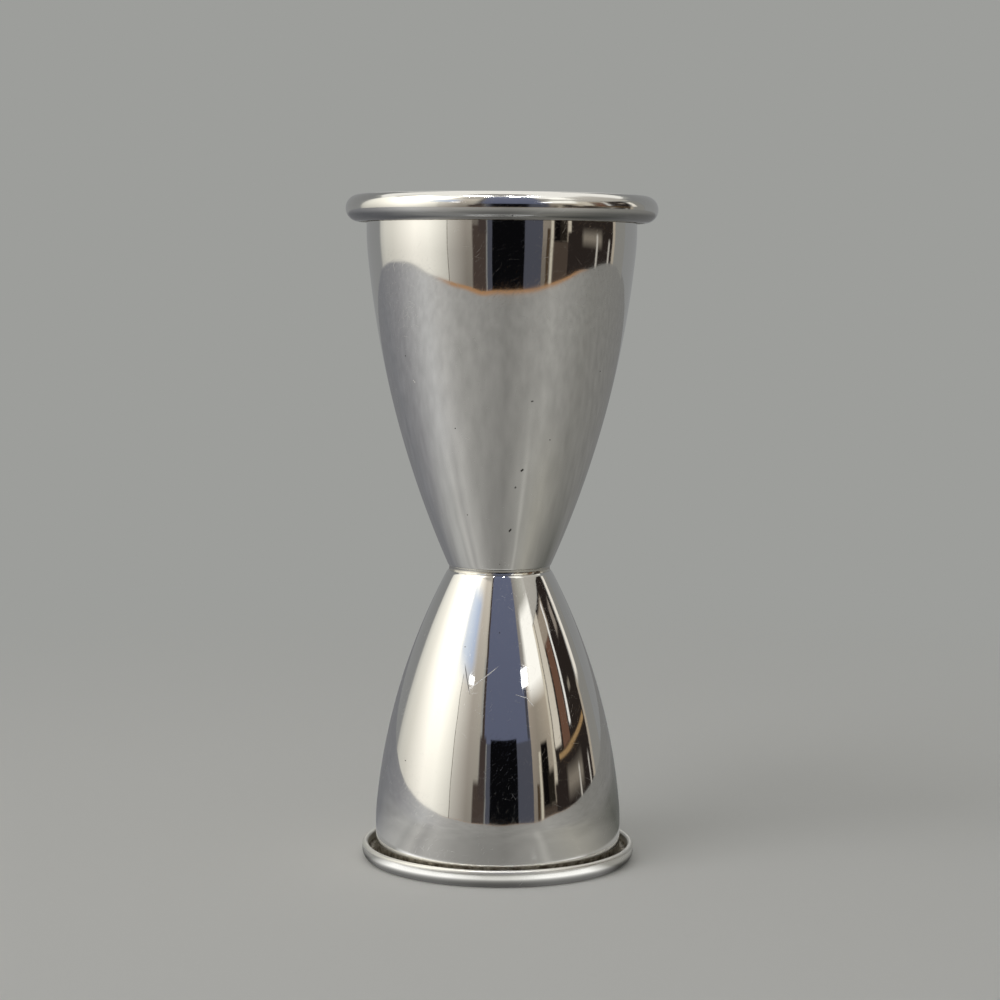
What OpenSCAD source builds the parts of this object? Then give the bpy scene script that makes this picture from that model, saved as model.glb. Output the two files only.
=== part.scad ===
// Double-ended bar measure: two drawn stainless cups brazed base to base, each with an outward rolled rim.
// It stands on the rim of its small cup. Lengths are in millimetres, angles in degrees.

/* [Sheet] */
// Thickness of the drawn steel sheet
sheet_t = 0.9; // [0.6:0.05:1.2]
// Inside radius of the bend between a cup's flat base and its flank
bend_r = 0.3; // [0.2:0.1:1]
// Width of the narrow flat ground on the crest of each rim, on which the measure stands
land_w = 0.6; // [0.3:0.1:0.8]

/* [Large cup] */
// Inside diameter at the mouth
large_mouth_d = 39.7; // [36:0.1:46]
// Height from the base to the crest of the rim
large_h = 57.3; // [50:0.1:65]
// Diameter at which the flank would reach the base plane if the bend were sharp
large_foot_d = 15.5; // [13:0.1:18]
// Radius of the shoulder that brings the flank upright below the rim
large_shoulder_r = 40; // [25:1:60]
// Angle that the shoulder turns through
large_shoulder_turn = 5.5; // [3:0.5:8]
// Upright stretch of wall from the shoulder to the middle of the curl
large_lip_h = 3; // [2:0.1:5]
// Inside radius of the rim's curl
large_curl_r = 1.15; // [0.8:0.05:1.8]
// Angle that the curl turns through, up from the wall and over to the rounding of its free edge
large_curl_turn = 270; // [230:5:280]

/* [Small cup] */
// Inside diameter at the mouth
small_mouth_d = 36.4; // [33:0.1:42]
// Height from the base to the crest of the rim
small_h = 45.5; // [40:0.1:52]
// Diameter at which the flank would reach the base plane if the bend were sharp
small_foot_d = 15.8; // [13:0.1:18]
// Radius of the shoulder that brings the flank upright below the rim
small_shoulder_r = 32; // [20:1:50]
// Angle that the shoulder turns through
small_shoulder_turn = 5.5; // [3:0.5:8]
// Upright stretch of wall from the shoulder to the middle of the curl
small_lip_h = 4.3; // [2.5:0.1:6]
// Inside radius of the half turn that the rim's sheet makes
small_curl_r = 0.6; // [0.4:0.05:1.2]
// Length of the straight stretch that follows it, up to the rounding of its free edge
small_end_l = 0.75; // [0.6:0.05:1.5]

/* [Braze] */
// Thickness of the filler film between the two flat bases
film_t = 0.1; // [0.05:0.05:0.3]
// Radius of the hollow face of the filler ring round the waist
fillet_r = 1; // [0.6:0.1:2]
// Angle at which the face of the filler meets the steel
wet_angle = 25; // [10:5:40]

/* [Hidden] */
$fa = 1;
$fs = 0.25;
steel = [0.78, 0.79, 0.80];
filler = [0.66, 0.66, 0.64];

// A cup is held as a list of its sizes, and each function below reads one of them
large = [large_mouth_d, large_h, large_foot_d, large_shoulder_r, large_shoulder_turn,
         large_lip_h, large_curl_r, large_curl_turn, 0];
small = [small_mouth_d, small_h, small_foot_d, small_shoulder_r, small_shoulder_turn,
         small_lip_h, small_curl_r, 180, small_end_l];
function mouth_d(cup) = cup[0];
function height(cup) = cup[1];
function foot_d(cup) = cup[2];
function shoulder_r(cup) = cup[3];
function shoulder_turn(cup) = cup[4];
function lip_h(cup) = cup[5];
function curl_r(cup) = cup[6];
function curl_turn(cup) = cup[7];
function end_l(cup) = cup[8];

// The outline of a cup is drawn as [radius, height above its base], with its mouth up.
// Its outside face runs lip, shoulder arc, flank arc, bend arc and flat base, each tangent to the next.
bend_out = bend_r + sheet_t;
// The flank is drawn this little inside its neighbours, so that the arcs cross and leave no hairline step
arc_overlap = 0.002;

// Direction square to the outside face where it leans in by an angle
function square_to(lean) = [cos(lean), -sin(lean)];

// The curl: its outside radius, and its centre, set so that the land is at the cup's full height
function curl_out(cup) = curl_r(cup) + sheet_t;
function curl_centre(cup) =
    [mouth_d(cup) / 2 + curl_out(cup), height(cup) - sqrt(pow(curl_out(cup), 2) - pow(land_w / 2, 2))];

// The lip's outside radius, and the shoulder that hangs from it
function lip_r(cup) = mouth_d(cup) / 2 + sheet_t;
function shoulder_centre(cup) =
    [lip_r(cup) - shoulder_r(cup), curl_centre(cup)[1] - lip_h(cup)];
function shoulder_end(cup) =
    shoulder_centre(cup) + shoulder_r(cup) * square_to(shoulder_turn(cup));

// The flank: the one arc that leaves the shoulder without a kink and reaches the foot
function flank_chord(cup) = shoulder_end(cup) - [foot_d(cup) / 2, 0];
function flank_r(cup) =
    pow(norm(flank_chord(cup)), 2) / (2 * flank_chord(cup) * square_to(shoulder_turn(cup)));
function flank_centre(cup) =
    shoulder_end(cup) - flank_r(cup) * square_to(shoulder_turn(cup));

// The bend touches the flank and the base plane, and flank_lean is where the flank ends at it
function bend_centre(cup) =
    let (rise = bend_out - flank_centre(cup)[1])
    [flank_centre(cup)[0] + sqrt(pow(flank_r(cup) - bend_out, 2) - pow(rise, 2)), bend_out];
function flank_lean(cup) =
    let (across = bend_centre(cup) - flank_centre(cup))
    atan2(-across[1], across[0]);

// Quarter of the outline plane that lies outside the axis and above the base, up to a height
module outline_window(cup, top) {
    square([mouth_d(cup), top]);
}

// Wedge about the origin between two angles, in two halves that both reach past a radius
module wedge(radius, from, to) {
    quarter = (to - from) / 4;
    reach = 2 * radius / cos(quarter);
    polygon([[0, 0], for (turn = [from, from + 2 * quarter, to]) reach * [cos(turn), sin(turn)]]);
}

// Everything within a cup's face, from the base to the middle of the curl: depth 0 gives the outside
// face, and the depth of the sheet gives the inside face
module filled(cup, depth) {
    lip_foot = shoulder_centre(cup)[1];
    curl_z = curl_centre(cup)[1];
    translate([0, lip_foot])
        square([lip_r(cup) - depth, curl_z - lip_foot]);
    intersection() {
        outline_window(cup, lip_foot);
        translate(shoulder_centre(cup))
            circle(shoulder_r(cup) - depth);
    }
    intersection() {
        outline_window(cup, lip_foot);
        translate(flank_centre(cup))
            circle(flank_r(cup) - depth - arc_overlap);
        translate(flank_centre(cup))
            wedge(flank_r(cup), -flank_lean(cup), -shoulder_turn(cup));
    }
    translate(bend_centre(cup))
        circle(bend_out - depth);
    translate([0, depth])
        square([bend_centre(cup)[0], lip_foot - depth]);
}

// The rolled rim: sheet curled up and outwards from the lip, with the land ground on its crest.
// Its straight end, where it has one, and its free edge, which is worn round, stand clear of the wall.
module rolled_rim(cup) {
    curl_end = 180 - curl_turn(cup);
    open_turn = 360 - curl_turn(cup);
    intersection() {
        translate(curl_centre(cup))
            difference() {
                circle(curl_out(cup));
                circle(curl_r(cup));
                wedge(curl_out(cup), curl_end - open_turn, curl_end);
            }
        outline_window(cup, height(cup));
    }
    translate(curl_centre(cup))
        rotate(curl_end)
            translate([curl_r(cup), -end_l(cup)]) {
                if (end_l(cup) > 0)
                    square([sheet_t, end_l(cup)]);
                translate([sheet_t / 2, 0])
                    circle(sheet_t / 2);
            }
}

// One drawn cup, mouth up, with its base on the ground
module drawn_cup(cup) {
    rotate_extrude() {
        difference() {
            filled(cup, 0);
            filled(cup, sheet_t);
        }
        rolled_rim(cup);
    }
}

module large_cup() {
    color(steel)
        translate([0, 0, small_h + film_t])
            drawn_cup(large);
}

module small_cup() {
    color(steel)
        translate([0, 0, small_h])
            mirror([0, 0, 1])
                drawn_cup(small);
}

// Filler between the bases, swelling to a hollow-faced ring in the groove between the two bends
module waist_braze() {
    upper = bend_centre(large) + [0, film_t / 2];
    lower = [bend_centre(small)[0], -bend_centre(small)[1] - film_t / 2];
    half_gap = norm(upper - lower) / 2;
    along = (upper - lower) / (2 * half_gap);
    outwards = [along[1], -along[0]];
    to_face = sqrt(pow(bend_out, 2) + pow(fillet_r, 2) + 2 * bend_out * fillet_r * cos(wet_angle));
    face_centre = (upper + lower) / 2 + outwards * sqrt(pow(to_face, 2) - pow(half_gap, 2));
    color(filler)
        translate([0, 0, small_h + film_t / 2])
            rotate_extrude()
                difference() {
                    polygon([
                        [0, -film_t / 2],
                        [lower[0], -film_t / 2],
                        lower,
                        face_centre,
                        upper,
                        [upper[0], film_t / 2],
                        [0, film_t / 2],
                    ]);
                    translate(upper)
                        circle(bend_out);
                    translate(lower)
                        circle(bend_out);
                    translate(face_centre)
                        circle(fillet_r);
                }
}

large_cup();
small_cup();
waist_braze();
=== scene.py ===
# %% [markdown]
# # A double-ended bar measure
# The measure is two drawn stainless cups, brazed base to base, each with its rim rolled outwards. The
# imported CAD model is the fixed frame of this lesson: it gives every piece its place and its size, and
# Blender gives it a surface that light can read. Lengths are in metres, as in the frame, unless a name
# or a comment says millimetres.

# %% Load the frame
import math

import bpy
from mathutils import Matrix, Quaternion, Vector


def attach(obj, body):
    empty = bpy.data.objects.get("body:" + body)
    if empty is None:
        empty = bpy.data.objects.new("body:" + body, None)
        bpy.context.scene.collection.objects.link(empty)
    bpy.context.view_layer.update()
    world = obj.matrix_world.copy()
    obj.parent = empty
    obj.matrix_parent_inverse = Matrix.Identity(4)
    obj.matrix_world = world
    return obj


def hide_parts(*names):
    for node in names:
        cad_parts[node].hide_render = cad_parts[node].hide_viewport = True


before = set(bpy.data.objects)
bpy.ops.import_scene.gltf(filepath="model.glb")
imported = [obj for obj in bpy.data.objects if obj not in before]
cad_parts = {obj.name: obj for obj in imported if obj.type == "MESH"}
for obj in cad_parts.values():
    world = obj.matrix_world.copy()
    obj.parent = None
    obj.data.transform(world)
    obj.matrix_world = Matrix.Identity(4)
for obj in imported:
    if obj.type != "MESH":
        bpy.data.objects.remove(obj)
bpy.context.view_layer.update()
MM = 0.001

# %% [markdown]
# ## The camera
# The photograph looks slightly down on the measure from close by, with a long lens. A camera needs
# three things to repeat such a view: where it stands, what it aims at, and its focal length. The
# measure leans a hair to the right in the picture, so the camera is rolled by the same small angle.
# Depth of field stays off.

# %% Make the camera
CAMERA_AT = Vector((0, -377.9, 90.74)) * MM
CAMERA_AIM = Vector((0, 0, 56.08)) * MM
CAMERA_ROLL = math.radians(0.40)
SENSOR_MM, LENS_MM = 36, 88.1
NEAR_CLIP = 0.01

camera = bpy.data.objects.new("camera", bpy.data.cameras.new("camera"))
camera.data.sensor_width = SENSOR_MM
camera.data.lens = LENS_MM
camera.data.clip_start = NEAR_CLIP
camera.rotation_mode = "QUATERNION"
camera.location = CAMERA_AT
facing = (CAMERA_AIM - CAMERA_AT).to_track_quat("-Z", "Y")
camera.rotation_quaternion = facing @ Quaternion((0, 0, 1), CAMERA_ROLL)
bpy.context.scene.collection.objects.link(camera)
bpy.context.scene.camera = camera
bpy.context.scene.view_settings.view_transform = "Standard"
print("camera stands", round((CAMERA_AIM - CAMERA_AT).length / MM), "mm from the point it aims at")

# %% [markdown]
# ## Colours and nodes
# Colours are picked from a screen, so they are written as sRGB hex values, and one function
# turns them into the linear values that a shader needs. One more function adds a node: settings go in
# as keywords, and each input is either a plain value or the socket of an earlier node, which is then
# linked.

# %% Colour and node helpers


def linear(hex_colour):
    """Linear RGBA of an sRGB hex colour such as "9d9e9b"."""
    shares = [int(hex_colour[i:i + 2], 16) / 255 for i in (0, 2, 4)]
    return [s / 12.92 if s <= 0.04045 else ((s + 0.055) / 1.055) ** 2.4 for s in shares] + [1.0]


def add_node(tree, kind, inputs=None, **settings):
    """Adds a node, sets it up, and fills or links its inputs."""
    made = tree.nodes.new(kind)
    for name, value in settings.items():
        setattr(made, name, value)
    for socket, value in (inputs or {}).items():
        if isinstance(value, bpy.types.NodeSocket):
            tree.links.new(value, made.inputs[socket])
        else:
            made.inputs[socket].default_value = value
    return made


def empty_material(name):
    """A new material and its node tree, holding an output node only."""
    material = bpy.data.materials.new(name)
    material.use_nodes = True
    material.node_tree.nodes.clear()
    return material, material.node_tree, material.node_tree.nodes.new("ShaderNodeOutputMaterial")


print("mid grey 808080 is", round(linear("808080")[0], 3), "in linear light")

# %% [markdown]
# Four kinds of node come up again and again: a sum, a range that is mapped to another one, a noise and a
# mix. Each gets a short function that adds it and gives back its result.

# %% Four common nodes
# Sockets of a Mix node for each kind of value: the first, the second and the result
MIX_SOCKETS = {"RGBA": (6, 7, 2), "FLOAT": (2, 3, 0)}


def maths(tree, operation, *values, **settings):
    """The result of one sum."""
    inputs = dict(enumerate(values))
    return add_node(tree, "ShaderNodeMath", inputs, operation=operation, **settings).outputs["Value"]


def mapped(tree, value, start, end, low=0, high=1, ease="LINEAR"):
    """Low where a value is at start or before it, high at end or past it, and in between on the way."""
    inputs = {"Value": value, "From Min": start, "From Max": end, "To Min": low, "To Max": high}
    return add_node(tree, "ShaderNodeMapRange", inputs, interpolation_type=ease).outputs["Result"]


def noise(tree, place, size, detail=2.0, rough=0.5, dimensions="3D", seed=None):
    """Soft random values in blots of a size. In 4D, each seed gives other blots."""
    inputs = {"Vector": place, "Scale": 1 / size, "Detail": detail, "Roughness": rough}
    if seed is not None:
        inputs["W"] = seed
    return add_node(tree, "ShaderNodeTexNoise", inputs, noise_dimensions=dimensions).outputs[0]


def blend(tree, share, first, second, kind="RGBA"):
    """The first colour or value where share is 0, and the second one where it is 1."""
    one, two, result = MIX_SOCKETS[kind]
    inputs = {"Factor": share, one: first, two: second}
    return add_node(tree, "ShaderNodeMix", inputs, data_type=kind).outputs[result]


print("kinds of mix:", list(MIX_SOCKETS))

# %% [markdown]
# Much of this scene lies round the measure: cards, light on the floor, marks on the metal. So a few more
# helpers work with the height and the compass, which is the angle round the axis. The compass is 0 towards
# the camera and grows to the right. A colour ramp along it paints tones that change from one side to the
# next, and a few stops are easier to adjust than a texture.

# %% Height and compass helpers


def height_of(tree, place):
    """The height of a place."""
    return add_node(tree, "ShaderNodeSeparateXYZ", {0: place}).outputs["Z"]


def compass_of(tree, place):
    """The compass angle of a place, in radians."""
    axes = add_node(tree, "ShaderNodeSeparateXYZ", {0: place}).outputs
    return maths(tree, "ARCTAN2", axes["X"], maths(tree, "MULTIPLY", axes["Y"], -1))


def ramp_place(degrees):
    """Where a compass angle lies on a ramp that runs from 0 to 1."""
    return (degrees + 180) / 360


def tones_round(tree, compass, stops):
    """Colour from a ramp round the compass, with stops as (angle in degrees, hex colour)."""
    ramp = add_node(tree, "ShaderNodeValToRGB", {"Fac": mapped(tree, compass, -math.pi, math.pi)})
    for _ in stops[2:]:
        ramp.color_ramp.elements.new(0.5)
    for stop, (angle, tone) in zip(ramp.color_ramp.elements, stops):
        stop.position = ramp_place(angle)
        stop.color = linear(tone)
    return ramp.outputs["Color"]


print("the right-hand side, at 90 degrees, lies at", ramp_place(90), "of a ramp")

# %% [markdown]
# ## The world and the floor
# Mirror-polished metal has hardly any colour of its own: it shows the room. So the room comes first.
# The background is one even grey, which the metal sees too. The floor is a pale matt sheet that fades
# into that grey with distance, so no horizon line cuts the picture. It is lit by lamps, so it keeps the
# contact shadow.

# %% Grey world
BACKGROUND = linear("9d9e9b")

world = bpy.data.worlds.new("studio")
world.use_nodes = True
bpy.context.scene.world = world
world.node_tree.nodes["Background"].inputs["Color"].default_value = BACKGROUND
world.node_tree.nodes["Background"].inputs["Strength"].default_value = 1
print("background grey", [round(c, 3) for c in BACKGROUND[:3]])

# %% Floor paint
# Painted board scatters light evenly, so it reads as matt and shows soft shadows
FLOOR_TINT = "dedddb"
FADE_FROM, FADE_TO = 0.08, 0.34

floor_paint, tree, out = empty_material("matt_painted_board")
place = add_node(tree, "ShaderNodeTexCoord").outputs["Object"]
reach = add_node(tree, "ShaderNodeVectorMath", {0: place}, operation="LENGTH").outputs["Value"]
fade = mapped(tree, reach, FADE_FROM, FADE_TO, ease="SMOOTHSTEP")
matt = add_node(tree, "ShaderNodeBsdfDiffuse", {"Color": linear(FLOOR_TINT)}).outputs["BSDF"]
grey = add_node(tree, "ShaderNodeEmission", {"Color": BACKGROUND}).outputs["Emission"]
board = add_node(tree, "ShaderNodeMixShader", {0: fade, 1: matt, 2: grey}).outputs["Shader"]
print("the floor fades out between", FADE_FROM, "and", FADE_TO, "m")

# %% [markdown]
# ## The floor in the mirror
# The lower part of each cup mirrors the floor, and an even grey would leave it flat. A studio floor is
# lighter towards its bright sides, and close to polished metal it catches bands of light that the metal
# throws. Tracing those bands takes many light paths and stays grainy, so two ramps round the compass
# draw them, one for the floor far off and one for close by. Only reflected rays will see them.

# %% Tones of the floor
FAR_TONES = [
    # compass angle and the tone there
    (-180, "79797a"), (-130, "828387"), (-104, "959598"), (-70, "c8c8c8"), (-54, "bfbebc"),
    (-38, "a9a8a5"), (5, "8e8d8a"), (45, "aaa9a5"), (85, "8b8a86"), (180, "797979"),
]
NEAR_TONES = [
    (-180, "777879"), (-130, "7e7f82"), (-84, "bbbbb9"), (-77, "b2b2b0"), (-68, "c6c5c2"),
    (-60, "b1b0ae"), (-51, "bebdba"), (-30, "9f9e9b"), (5, "8c8b88"), (28, "a2a19d"), (33, "b7b6b1"),
    (38, "a5a49f"), (60, "a8a69e"), (95, "84837e"), (122, "61625d"), (180, "777878"),
]
BANDS_FROM, BANDS_TO = 0.16, 0.06

compass = compass_of(tree, place)
far = tones_round(tree, compass, FAR_TONES)
near = tones_round(tree, compass, NEAR_TONES)
close = mapped(tree, reach, BANDS_FROM, BANDS_TO, ease="SMOOTHSTEP")
tone = blend(tree, close, far, near)
print(len(FAR_TONES), "tones far off and", len(NEAR_TONES), "close by")

# %% [markdown]
# A mirror that shows a perfect floor looks drawn. Soft blots of a few centimetres make the painted floor
# light that the metal sees a little lighter and darker.

# %% Uneven painted floor light
BLOT = 0.03
BLOT_LEVELS = (0.3, 0.7)
UNEVEN = 0.09

blots = noise(tree, place, BLOT, detail=3.0)
blots = mapped(tree, blots, *BLOT_LEVELS, 1 - UNEVEN, 1 + UNEVEN)
tone = add_node(tree, "ShaderNodeVectorMath", {0: tone, "Scale": blots}, operation="SCALE").outputs["Vector"]
print("blots of", BLOT, "m change the tone by a share of up to", UNEVEN)

# %% [markdown]
# The metal sees a round table that ends just in front of the camera. Its bare wooden edge draws a thin
# warm line in the upper cup, where the floor's reflection stops. The line is there in front only, and
# melts into the floor at the sides.

# %% Table edge
TABLE_CENTRE, TABLE_RADIUS = 0.49, 0.83
# The edge's tone starts this far inside the rim of the table, and is full at this share of that width
EDGE_WIDTH, EDGE_FULL = 0.02, 0.4
EDGE_TONES = [
    (-180, "b4b2ad"), (-62, "bfbebc"), (-44, "b48a63"), (66, "b48a63"), (82, "8f8d89"), (180, "8b8a86"),
]

from_centre = add_node(tree, "ShaderNodeVectorMath", {0: place, 1: (0, TABLE_CENTRE, 0)},
                       operation="DISTANCE").outputs["Value"]
edge = mapped(tree, from_centre, TABLE_RADIUS - EDGE_WIDTH, TABLE_RADIUS - EDGE_WIDTH * EDGE_FULL)
tone = blend(tree, edge, tone, tones_round(tree, compass, EDGE_TONES))
print("the table ends", round(TABLE_RADIUS - TABLE_CENTRE, 2), "m in front of the measure")

# %% [markdown]
# Right at the foot the rim throws a light ring on the floor. Under the rim little light gets in, and the
# mirror shows that as the thin dark line of the contact.

# %% Ring and contact
RING_TONES = [
    (-180, "777879"), (-80, "8c8c8a"), (-62, "ffffff"), (-26, "ffffff"), (-6, "d2d2d0"), (6, "d2d2d0"),
    (24, "ffffff"), (50, "ffffff"), (66, "908f8b"), (180, "777878"),
]
RING_FROM, RING_TO = 0.0318, 0.0304
RING_GAIN = 0.45
CONTACT_FROM, CONTACT_TO = 0.0205, 0.0260
CONTACT_DARK = 0.12

ring = mapped(tree, reach, RING_FROM, RING_TO, ease="SMOOTHSTEP")
tone = blend(tree, ring, tone, tones_round(tree, compass, RING_TONES))
gain = maths(tree, "MULTIPLY_ADD", ring, RING_GAIN, 1)
contact = mapped(tree, reach, CONTACT_FROM, CONTACT_TO, CONTACT_DARK, ease="SMOOTHSTEP")
level = maths(tree, "MULTIPLY", gain, contact)
print("the ring has", len(RING_TONES), "tones, and the contact darkens to", CONTACT_DARK)

# %% Show the tones to the metal only
sheen = add_node(tree, "ShaderNodeEmission", {"Color": tone, "Strength": level}).outputs["Emission"]
in_metal = add_node(tree, "ShaderNodeLightPath").outputs["Is Glossy Ray"]
seen = add_node(tree, "ShaderNodeMixShader", {0: in_metal, 1: board, 2: sheen}).outputs["Shader"]
tree.links.new(seen, out.inputs["Surface"])
print(floor_paint.name, "has", len(tree.nodes), "nodes")

# %% [markdown]
# Two flat discs carry that paint. The metal sees the round table, whose edge draws the curved horizon in
# the reflection. A wide floor lies a hair below it, hidden from the metal, and carries the picture on to
# all sides.

# %% Table and wide floor
FLOOR_REACH, FLOOR_DROP = 6.0, 0.0002
DISC_STEPS = 128


def stage_disc(name, centre_y, radius, height, material):
    """A flat round sheet of the stage."""
    turn = [math.tau * i / DISC_STEPS for i in range(DISC_STEPS)]
    points = [(radius * math.cos(a), centre_y + radius * math.sin(a), height) for a in turn]
    mesh = bpy.data.meshes.new(name)
    mesh.from_pydata(points, [], [tuple(range(DISC_STEPS))])
    mesh.materials.append(material)
    sheet = bpy.data.objects.new(name, mesh)
    bpy.context.scene.collection.objects.link(sheet)
    return sheet


table = stage_disc("round_table", TABLE_CENTRE, TABLE_RADIUS, 0, floor_paint)
wide_floor = stage_disc("wide_floor", 0, FLOOR_REACH, -FLOOR_DROP, floor_paint)
wide_floor.visible_glossy = False
print(table.name, "is", round(table.dimensions.x, 2), "m across")

# %% [markdown]
# ## Lamps
# The lamps only light the floor, and give it the soft shadow at the foot. They are hidden from the metal,
# because a bare lamp in a mirror would be a hard bright square. The key lamp is high on the left, so the
# shadow falls to the right.

# %% Soft lamps
LAMP_AIM = Vector((0, 0, 0.05))
LAMPS = [
    # name, place, size and watts
    ("key_lamp", (-0.55, -0.45, 0.75), 0.6, 1.9),
    ("top_lamp", (0.1, -0.1, 1.2), 1.0, 0.8),
]
for name, at, size, watts in LAMPS:
    lamp = bpy.data.objects.new(name, bpy.data.lights.new(name, "AREA"))
    lamp.data.size = size
    lamp.data.energy = watts
    lamp.location = at
    lamp.rotation_mode = "QUATERNION"
    lamp.rotation_quaternion = (LAMP_AIM - lamp.location).to_track_quat("-Z", "Y")
    lamp.visible_glossy = False
    bpy.context.scene.collection.objects.link(lamp)
print(len(LAMPS), "soft lamps")

# %% [markdown]
# ## Cards for the mirror
# A polished vessel is photographed inside a ring of cards: white ones give the broad bright panels, dark
# ones give the black that makes it read as metal, and narrow strips give the fine upright lines. Each
# card here is a curved sheet that stands round the measure, given by where the measure sees it: its left
# and right edge as compass angles, and its bottom and top edge as angles above the horizon. Only the
# metal sees the cards.

# %% Sheet of a card
CARD_EYE = 0.055
CARD_STEP = 3


def metal_only(sheet):
    """Hides a sheet of the stage from everything but reflections."""
    sheet.visible_camera = False
    sheet.visible_diffuse = False
    sheet.visible_shadow = False


def card_sheet(name, left, right, foot, head, distance):
    """The curved sheet of a card, between two compass angles in degrees and two heights in metres."""
    steps = max(2, int((right - left) / CARD_STEP))
    turn = [math.radians(left + (right - left) * i / steps) for i in range(steps + 1)]
    points = [(distance * math.sin(a), -distance * math.cos(a), h) for h in (foot, head) for a in turn]
    mesh = bpy.data.meshes.new(name)
    mesh.from_pydata(points, [], [(i, i + 1, steps + 2 + i, steps + 1 + i) for i in range(steps)])
    sheet = bpy.data.objects.new(name, mesh)
    bpy.context.scene.collection.objects.link(sheet)
    metal_only(sheet)
    return sheet


print("angles of the cards are taken from", CARD_EYE, "m above the floor")

# %% [markdown]
# Walls and cards in a real room are seldom even. A card may grow brighter towards its head, change its
# tone along the compass, and fade to clear at its edges, as a lit wall does where the light falls off.

# %% Light of a card


def faded(tree, light, edges):
    """Light that fades to clear at edges, given as (value, value at the edge, value where it is full)."""
    there = 1.0
    for value, edge, full in edges:
        there = maths(tree, "MULTIPLY", there, mapped(tree, value, edge, full))
    clear = add_node(tree, "ShaderNodeBsdfTransparent").outputs["BSDF"]
    return add_node(tree, "ShaderNodeMixShader", {0: there, 1: clear, 2: light}).outputs["Shader"]


def card(name, left, right, bottom, top, colour, low, high, soft, distance):
    """A glowing card, seen from the measure between these angles in degrees. Its colour is one hex value,
    or tones as (angle, hex value). Its strength goes from low at its foot to high at its head, and its
    edges fade over soft degrees."""
    foot, head = [CARD_EYE + distance * math.tan(math.radians(e)) for e in (bottom, top)]
    sheet = card_sheet(name, left, right, foot, head, distance)
    glow, tree, out = empty_material(name)
    place = add_node(tree, "ShaderNodeTexCoord").outputs["Object"]
    compass = compass_of(tree, place)
    height = height_of(tree, place)
    strength = low if low == high else mapped(tree, height, foot, head, low, high)
    tone = linear(colour) if isinstance(colour, str) else tones_round(tree, compass, colour)
    light = add_node(tree, "ShaderNodeEmission", {"Color": tone, "Strength": strength}).outputs["Emission"]
    if soft:
        start, end, fade = math.radians(left), math.radians(right), math.radians(soft)
        light = faded(tree, light, [(compass, start, start + fade), (compass, end, end - fade),
                                    (height, foot, foot + distance * fade),
                                    (height, head, head - distance * fade)])
    tree.links.new(light, out.inputs["Surface"])
    sheet.data.materials.append(glow)
    return sheet


print("a card 10 degrees wide at 1 m is", round(math.radians(10), 3), "m wide")

# %% Tones of the graded cards
LEFT_TONES = [
    (-126, "a3a29d"), (-116, "c2c0b8"), (-104, "cdcac1"), (-78, "f8f4ea"), (-64, "f3f0e6"),
    (-46.5, "cbc8bf"), (-45.5, "b6b2aa"), (-30, "878179"), (-17, "8a857c"),
]
BLUE_TONES = [(-60, "f4f7fb"), (-48, "d6e0ef"), (-38, "b8c4da"), (-30, "b9b8bc")]
RIGHT_TONES = [(34, "a89d90"), (42, "9c9386"), (60, "beb2a0")]
UPPER_TONES = [(30, "8f8a86"), (44, "b4b2a9"), (62, "d2cfc8")]
print("the left wall is graded in", len(LEFT_TONES), "tones")

# %% [markdown]
# The cards go round from the back by the left to the right. A broad bright wall on the left and a dark,
# busy side on the right give the measure its two halves, and a blue-grey flag with a black one at its foot
# divides them. Small strong lamps make the glints. Later cards stand closer, so they cover earlier ones.

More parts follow.
